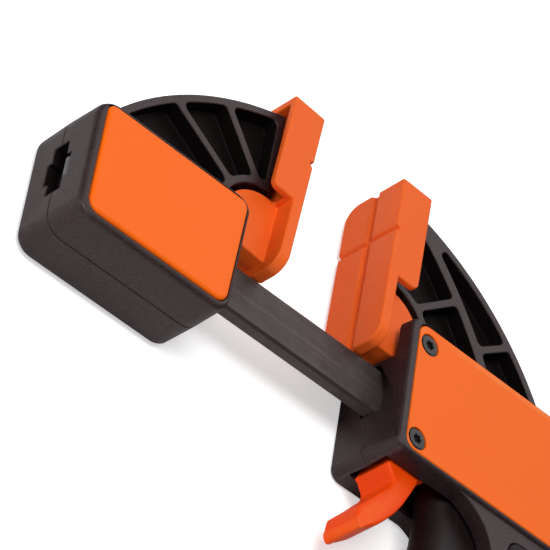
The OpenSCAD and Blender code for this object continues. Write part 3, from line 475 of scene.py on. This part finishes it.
def wear_group():
    """Rubbed edges: mixes a colour towards a paler one where the surface is convex."""
    group, given, put = new_group(
        "edge wear",
        [("Colour", "NodeSocketColor", (0.1, 0.1, 0.1, 1)),
         ("Worn Colour", "NodeSocketColor", (0.4, 0.4, 0.4, 1)),
         ("Start", "NodeSocketFloat", 0.52), ("Amount", "NodeSocketFloat", 0.5)],
        [("Colour", "NodeSocketColor")])
    bent = group.nodes.new("ShaderNodeNewGeometry").outputs["Pointiness"]
    past = math_node(group, "SUBTRACT", bent, given.outputs["Start"])
    over = math_node(group, "MULTIPLY", past, WEAR_STEEPNESS, clamp=True)
    patchy = math_node(group, "MULTIPLY", over, noise(group, object_place(group), scale=220.0, detail=4.0))
    mask = math_node(group, "MULTIPLY", patchy, given.outputs["Amount"], clamp=True)
    group.links.new(blend_colours(group, mask, given.outputs["Colour"], given.outputs["Worn Colour"]),
                    put.inputs["Colour"])
    return group


def scratch_group():
    """Fine scratches along X, as a mask."""
    group, given, put = new_group(
        "long scratches", [("Scale", "NodeSocketFloat", 900.0), ("Sparse", "NodeSocketFloat", 0.6)],
        [("Mask", "NodeSocketFloat")])
    stretch = group.nodes.new("ShaderNodeMapping")
    stretch.inputs["Scale"].default_value = SCRATCH_STRETCH
    group.links.new(object_place(group), stretch.inputs["Vector"])
    lines = noise(group, stretch.outputs[0], given.outputs["Scale"], detail=3.0)
    past = math_node(group, "SUBTRACT", lines, given.outputs["Sparse"])
    group.links.new(math_node(group, "MULTIPLY", past, SCRATCH_STEEPNESS, clamp=True), put.inputs["Mask"])
    return group


def start_material(name):
    material = bpy.data.materials.new(name)
    material.use_nodes = True
    tree = material.node_tree
    return material, tree, tree.nodes["Principled BSDF"]


def add_group(tree, name, maker, **values):
    """Places a shared group in a material with its own values, and builds it the first time."""
    if name not in GROUPS:
        GROUPS[name] = maker()
    node = tree.nodes.new("ShaderNodeGroup")
    node.node_tree = GROUPS[name]
    for key, value in values.items():
        node.inputs[key.replace("_", " ")].default_value = value
    return node


def set_gloss(shader, specular, sheen):
    shader.inputs["Specular IOR Level"].default_value = specular
    shader.inputs["Specular Tint"].default_value = (*sheen, 1)


def bump(tree, shader, height, strength, distance):
    node = tree.nodes.new("ShaderNodeBump")
    node.inputs["Strength"].default_value = strength
    node.inputs["Distance"].default_value = distance
    tree.links.new(height, node.inputs["Height"])
    tree.links.new(node.outputs[0], shader.inputs["Normal"])


def plastic(name, colour, worn, grain, mottle, rough, strength, specular, sheen=PLAIN, seam=False):
    """Moulded plastic with its grain, its worn edges and, on a shell, its parting line."""
    material, tree, shader = start_material(name)
    grains = add_group(tree, "grain", grain_group, Colour=(*colour, 1), Grain_Scale=grain,
                       Mottle=mottle, Rough_Low=rough[0], Rough_High=rough[1])
    wear = add_group(tree, "wear", wear_group, Worn_Colour=(*worn, 1), Start=0.53, Amount=0.55)
    tree.links.new(grains.outputs["Colour"], wear.inputs["Colour"])
    shown = wear.outputs["Colour"]
    if seam:
        line = add_group(tree, "seam", seam_group)
        shown = blend_colours(tree, line.outputs["Mask"], shown, SEAM_COLOUR)
    tree.links.new(shown, shader.inputs["Base Color"])
    tree.links.new(grains.outputs["Roughness"], shader.inputs["Roughness"])
    set_gloss(shader, specular, sheen)
    bump(tree, shader, grains.outputs["Height"], strength, GRAIN_DEPTH)
    return material


def steel(name, colour, worn, rough, metallic, sparse, specular=0.5, sheen=PLAIN):
    """Steel with long scratches, cloudy roughness and worn edges."""
    material, tree, shader = start_material(name)
    marks = add_group(tree, "scratches", scratch_group, Sparse=sparse)
    wear = add_group(tree, "wear", wear_group, Worn_Colour=(*worn, 1), Start=0.52, Amount=0.8)
    faint = math_node(tree, "MULTIPLY", marks.outputs["Mask"], SCRATCH_TINT)
    tree.links.new(blend_colours(tree, faint, (*colour, 1), (*worn, 1)), wear.inputs["Colour"])
    tree.links.new(wear.outputs["Colour"], shader.inputs["Base Color"])
    cloudy = noise(tree, object_place(tree), scale=90.0, detail=3.0)
    tree.links.new(math_node(tree, "ADD", math_node(tree, "MULTIPLY", cloudy, CLOUD_ROUGHNESS), rough),
                   shader.inputs["Roughness"])
    shader.inputs["Metallic"].default_value = metallic
    set_gloss(shader, specular, sheen)
    bump(tree, shader, marks.outputs["Mask"], SCRATCH_STRENGTH, SCRATCH_DEPTH)
    return material


def make_plastics(tint):
    MATERIALS["shell"] = plastic(
        "moulded nylon", tint.shell, worn=(0.1, 0.085, 0.08), grain=1500.0, mottle=5.0,
        rough=(0.44, 0.56), strength=0.6, specular=0.5, sheen=WARM, seam=True)
    # Painted shade: a near-black, dull nylon for the faces in the pockets and the bar's hollow, where shade
    # falls
    MATERIALS["hollow"] = plastic(
        "nylon with painted shade in hollows", (0.006, 0.004, 0.004), worn=(0.02, 0.017, 0.017), grain=1500.0, mottle=1.0,
        rough=(0.5, 0.6), strength=0.2, specular=0.08, sheen=WARM)
    # Painted shade: darker than the shells, standing in for the body's shadow over the trigger's own black
    # moulding
    MATERIALS["trigger"] = plastic(
        "trigger moulding with painted shade", (0.008, 0.004, 0.0045), worn=(0.05, 0.042, 0.04), grain=1500.0, mottle=3.0,
        rough=(0.44, 0.54), strength=0.4, specular=0.3, sheen=WARM)
    MATERIALS["plate"] = plastic(
        "orange moulding", tint.plate, worn=(1.0, 0.32, 0.08), grain=3000.0, mottle=0.12,
        rough=(0.42, 0.5), strength=0.12, specular=0.15)
    MATERIALS["lever"] = plastic(
        "lever moulding", tint.lever, worn=(1.0, 0.2, 0.03), grain=3000.0, mottle=0.12,
        rough=(0.42, 0.5), strength=0.12, specular=0.12)
    MATERIALS["pad"] = plastic(
        "soft pad", tint.pad, worn=(1.0, 0.28, 0.1), grain=2200.0, mottle=0.25,
        rough=(0.5, 0.62), strength=0.25, specular=0.2)
    MATERIALS["grip"] = plastic(
        "soft grip", tint.grip, worn=(0.05, 0.045, 0.045), grain=1200.0, mottle=3.0,
        rough=(0.6, 0.75), strength=0.6, specular=0.35, sheen=WARM)


def make_steels(tint):
    MATERIALS["bar"] = steel(
        "dark bar", tint.bar, worn=(0.2, 0.18, 0.17), rough=0.4, metallic=0.06, sparse=0.56,
        specular=0.4, sheen=WARM)
    # Painted reflection: a darker steel on the chamfers, standing in for the dark surroundings that they
    # reflect
    MATERIALS["chamfer"] = steel(
        "chamfer painted with dark reflection", (0.012, 0.007, 0.006), worn=(0.05, 0.04, 0.035), rough=0.5, metallic=0.0, sparse=0.6)
    MATERIALS["leaf"] = steel(
        "dull leaf", (0.055, 0.05, 0.05), worn=(0.2, 0.2, 0.2), rough=0.4, metallic=0.2, sparse=0.6)
    MATERIALS["zinc"] = steel(
        "zinc plate", (0.55, 0.55, 0.56), worn=(0.75, 0.75, 0.75), rough=0.25, metallic=1.0, sparse=0.6)
    MATERIALS["spring"] = steel(
        "spring steel", (0.06, 0.058, 0.06), worn=(0.2, 0.2, 0.2), rough=0.3, metallic=1.0, sparse=0.6)
    MATERIALS["screw"] = steel(
        "black screw", (0.02, 0.018, 0.019), worn=(0.1, 0.1, 0.1), rough=0.36, metallic=0.3, sparse=0.62)


def finishes():
    """All materials by name, made the first time that one is asked for."""
    if not MATERIALS:
        make_plastics(colours())
        make_steels(colours())
    return MATERIALS


# Pieces


class CLAMP_OT_shells(bpy.types.Operator):
    """Rounds over the moulded shells of both jaws, and paints shade into the pockets and the bar's hollow"""

    bl_idname = "clamp.shells"
    bl_label = "Shells"

    def execute(self, context):
        look = finishes()
        for node in ("fixed_jaw_near_shell", "fixed_jaw_far_shell",
                     "moving_jaw_near_shell", "moving_jaw_far_shell"):
            piece = moulded(node, node.replace("shell", "moulding"), look["shell"],
                            edges().shell)
            tree = surface_of(piece.data)
            low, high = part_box(node)
            # Painted shade on the faces in the pockets and in the bar's hollow
            add_finish(piece, look["hollow"],
                       lambda face: in_pocket(face, tree) or in_bar_hollow(face, low, high))
        return {"FINISHED"}


class CLAMP_OT_plates(bpy.types.Operator):
    """Rounds over the orange side plates"""

    bl_idname = "clamp.plates"
    bl_label = "Side plates"

    def execute(self, context):
        look = finishes()
        for jaw, width in (("fixed_jaw", edges().head_plate), ("moving_jaw", edges().plate)):
            for side in ("near", "far"):
                moulded(f"{jaw}_{side}_plate", f"{jaw}_{side}_panel", look["plate"],
                        width, segments=3, sharp=25)
        return {"FINISHED"}


class CLAMP_OT_pads(bpy.types.Operator):
    """Rounds over the soft pads, with crisp edges along their grooves"""

    bl_idname = "clamp.pads"
    bl_label = "Pads"

    def execute(self, context):
        look = finishes()
        for node in ("fixed_pad", "moving_pad"):
            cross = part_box(node)[1].y - CROSS_BELOW_TIP
            moulded(node, node + "_cushion", look["pad"], edges().pad, segments=3, sharp=30,
                    crisp=lambda first, second: in_grooves(first, second, cross))
        return {"FINISHED"}


class CLAMP_OT_levers(bpy.types.Operator):
    """Rounds over the trigger and the release lever"""

    bl_idname = "clamp.levers"
    bl_label = "Trigger and lever"

    def execute(self, context):
        look = finishes()
        moulded("release_lever", "release_thumb", look["lever"], edges().lever,
                segments=3, sharp=40)
        # The trigger's moulding carries painted shade
        moulded("trigger", "trigger_blade", look["trigger"], edges().trigger,
                segments=3, sharp=40)
        return {"FINISHED"}


class CLAMP_OT_grips(bpy.types.Operator):
    """Rounds over the handle's soft skins"""

    bl_idname = "clamp.grips"
    bl_label = "Grips"

    def execute(self, context):
        look = finishes()
        for node in ("handle_near_grip", "handle_far_grip"):
            moulded(node, node + "_skin", look["grip"], edges().plate, sharp=30)
        return {"FINISHED"}


class CLAMP_OT_bar(bpy.types.Operator):
    """Eases the bar's chamfers, gives it its worn dark finish and paints a dark reflection on the chamfers"""

    bl_idname = "clamp.bar"
    bl_label = "Bar"

    def execute(self, context):
        look = finishes()
        piece = moulded("bar", "worn_bar", look["bar"], edges().bar, sharp=30)
        # Painted dark reflection on the chamfer faces
        add_finish(piece, look["chamfer"],
                   lambda face: min(abs(face.normal.y), abs(face.normal.z)) > CHAMFER_SHARE)
        return {"FINISHED"}


def wound(name, turns, wire, low, high):
    """A coil of round wire along X that fills a box, with its ends closed."""
    radius = (high.y - low.y) / 2 - wire / 2
    middle = (low.z + high.z) / 2
    settle()
    bpy.ops.mesh.primitive_circle_add(vertices=WIRE_SIDES, radius=wire / 2, location=(0, radius, 0))
    coil = bpy.context.object
    coil.name = name
    bpy.ops.object.transform_apply(location=True, rotation=True, scale=True)
    steps = int(STEPS_PER_TURN * turns)
    modify(coil, "SCREW", axis="X", angle=math.radians(360 * turns), screw_offset=high.x - low.x - wire,
           steps=steps, render_steps=steps, use_smooth_shade=True, use_merge_vertices=False)
    pick(coil)
    bpy.ops.object.mode_set(mode="EDIT")
    bpy.ops.mesh.select_all(action="DESELECT")
    bpy.ops.mesh.select_non_manifold()
    bpy.ops.mesh.fill()
    bpy.ops.mesh.select_all(action="SELECT")
    bpy.ops.mesh.normals_make_consistent(inside=False)
    bpy.ops.transform.translate(value=(low.x + wire / 2, 0, middle))
    bpy.ops.object.mode_set(mode="OBJECT")
    smooth(coil, COIL_SHARP)
    return coil


class CLAMP_OT_springs(bpy.types.Operator):
    """Winds the two springs round the bar"""

    bl_idname = "clamp.springs"
    bl_label = "Springs"

    def execute(self, context):
        look = finishes()
        for node, name, turns, wire in SPRINGS:
            low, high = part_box(node)
            coil = wound(name, turns, wire, low, high)
            finish_piece(coil, look["spring"], body_of(node), (node,))
            if node == "drive_spring":
                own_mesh(coil)
        return {"FINISHED"}


class CLAMP_OT_hardware(bpy.types.Operator):
    """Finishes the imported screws, pins, guides and plates"""

    bl_idname = "clamp.hardware"
    bl_label = "Hardware"

    def execute(self, context):
        look = finishes()
        wearing = {
            "zinc": ("bar_end_stop", "bar_retaining_pin", "fixed_jaw_screws", "fixed_pad_pin", "shell_screws",
                     "shell_nuts", "moving_pad_pin", "release_lever_pin", "trigger_pin"),
            "leaf": ("bar_retaining_clip",),
            "spring": ("brake_plate", "drive_plates"),
            "screw": ("plate_screws",),
            "shell": ("front_bar_guide", "rear_bar_guide")}
        for finish, nodes in wearing.items():
            for node in nodes:
                for slot in frame["nodes"][node].material_slots:
                    slot.material = look[finish]
        return {"FINISHED"}


# Stage

CAMERA_PLACE = (-0.526217, -0.774098, 0.771825)
CAMERA_RIGHT = (0.71210991, 0.12664085, 0.69055165)
CAMERA_UP = (-0.51770089, 0.75910263, 0.39465046)
CAMERA_BACK = (-0.4742207, -0.6385337, 0.60612658)
CAMERA_LENS = 229.127
CAMERA_SENSOR = 36.0
CAMERA_CLIP = (0.01, 20.0)
# Each soft lamp's name, place, aim, width and power
LAMPS = (
    ("key", (-0.45, -0.1, 1.3), (0.08, 0, 0), 0.8, 12.5),
    ("back", (0.85, 1.15, 1.1), (0.08, 0, 0), 1.6, 9.5),
    ("side", (-1.2, -0.15, 0.3), (0.05, 0, 0), 0.7, 3.6),
    ("low", (0.1, -1.2, 0.35), (0.08, 0, 0), 0.7, 1.8))
# The floor lies a hair below the clamp
FLOOR_WIDTH = 6.0
FLOOR_MIDDLE = (0.1, 0.0, -0.0002)
FLOOR_ROUGHNESS = 0.9
FLOOR_SPECULAR = 0.1
# What the floor gives to the camera past the light it scatters
FLOOR_GLOW = 0.5
# How bright the sky is as light, and to the camera
SKY_LIGHT = 0.18
SKY_SHOWN = 1.0


def seen_rays(tree):
    """One for the rays that show the white background itself."""
    path = tree.nodes.new("ShaderNodeLightPath")
    return math_node(tree, "MAXIMUM", path.outputs["Is Camera Ray"], path.outputs["Is Transmission Ray"])


def lay_floor():
    settle()
    bpy.ops.mesh.primitive_plane_add(size=FLOOR_WIDTH, location=FLOOR_MIDDLE)
    floor = bpy.context.object
    floor.name = "floor"
    bpy.ops.object.transform_apply(location=True, rotation=True, scale=True)
    material, tree, shader = start_material("plain floor")
    shader.inputs["Base Color"].default_value = (*colours().floor, 1)
    shader.inputs["Roughness"].default_value = FLOOR_ROUGHNESS
    shader.inputs["Specular IOR Level"].default_value = FLOOR_SPECULAR
    shader.inputs["Emission Color"].default_value = (1, 1, 1, 1)
    tree.links.new(math_node(tree, "MULTIPLY", seen_rays(tree), FLOOR_GLOW),
                   shader.inputs["Emission Strength"])
    floor.data.materials.append(material)


def hang_lamps(scene):
    for name, place, aim, width, power in LAMPS:
        lamp = bpy.data.lights.new(name, "AREA")
        lamp.shape = "DISK"
        lamp.size = width
        lamp.energy = power
        holder = bpy.data.objects.new(name, lamp)
        scene.collection.objects.link(holder)
        holder.location = place
        holder.rotation_euler = (Vector(aim) - Vector(place)).to_track_quat("-Z", "Y").to_euler()


def light_sky(scene):
    world = bpy.data.worlds.new("studio")
    scene.world = world
    world.use_nodes = True
    tree = world.node_tree
    background = tree.nodes["Background"]
    background.inputs["Color"].default_value = (1, 1, 1, 1)
    shown = math_node(tree, "MULTIPLY", seen_rays(tree), SKY_SHOWN - SKY_LIGHT)
    tree.links.new(math_node(tree, "ADD", shown, SKY_LIGHT), background.inputs["Strength"])


def set_camera(scene):
    lens = bpy.data.cameras.new("view")
    lens.sensor_width = CAMERA_SENSOR
    lens.lens = CAMERA_LENS
    lens.clip_start, lens.clip_end = CAMERA_CLIP
    camera = bpy.data.objects.new("view", lens)
    scene.collection.objects.link(camera)
    turn = Matrix((CAMERA_RIGHT, CAMERA_UP, CAMERA_BACK)).transposed()
    camera.matrix_world = Matrix.Translation(CAMERA_PLACE) @ turn.to_4x4()
    scene.camera = camera


class CLAMP_OT_stage(bpy.types.Operator):
    """Sets the floor, the soft lights, the world and the camera"""

    bl_idname = "clamp.stage"
    bl_label = "Stage"

    def execute(self, context):
        lay_floor()
        hang_lamps(context.scene)
        light_sky(context.scene)
        set_camera(context.scene)
        context.scene.view_settings.view_transform = "Standard"
        return {"FINISHED"}


class CLAMP_PT_panel(bpy.types.Panel):
    """Lists the steps of the dressing"""

    bl_label = "Bar clamp"
    bl_idname = "CLAMP_PT_panel"
    bl_space_type = "VIEW_3D"
    bl_region_type = "UI"
    bl_category = "Bar clamp"

    def draw(self, context):
        for group in (edges(), colours()):
            for key in group.__annotations__:
                self.layout.prop(group, key)
        for step in STEPS:
            self.layout.operator(step.bl_idname)


STEPS = (CLAMP_OT_shells, CLAMP_OT_plates, CLAMP_OT_pads, CLAMP_OT_levers, CLAMP_OT_grips, CLAMP_OT_bar,
         CLAMP_OT_springs, CLAMP_OT_hardware, CLAMP_OT_stage)
CLASSES = (ClampEdges, ClampColours, *STEPS, CLAMP_PT_panel)


def register():
    for made in CLASSES:
        bpy.utils.register_class(made)
    bpy.types.Scene.clamp_edges = bpy.props.PointerProperty(type=ClampEdges)
    bpy.types.Scene.clamp_colours = bpy.props.PointerProperty(type=ClampColours)


def unregister():
    del bpy.types.Scene.clamp_colours
    del bpy.types.Scene.clamp_edges
    for made in reversed(CLASSES):
        bpy.utils.unregister_class(made)


def main():
    register()
    settle()
    bpy.ops.clamp.shells()
    bpy.ops.clamp.plates()
    bpy.ops.clamp.pads()
    bpy.ops.clamp.levers()
    bpy.ops.clamp.grips()
    bpy.ops.clamp.bar()
    bpy.ops.clamp.springs()
    bpy.ops.clamp.hardware()
    bpy.ops.clamp.stage()
    settle()


if __name__ == "__main__":
    main()
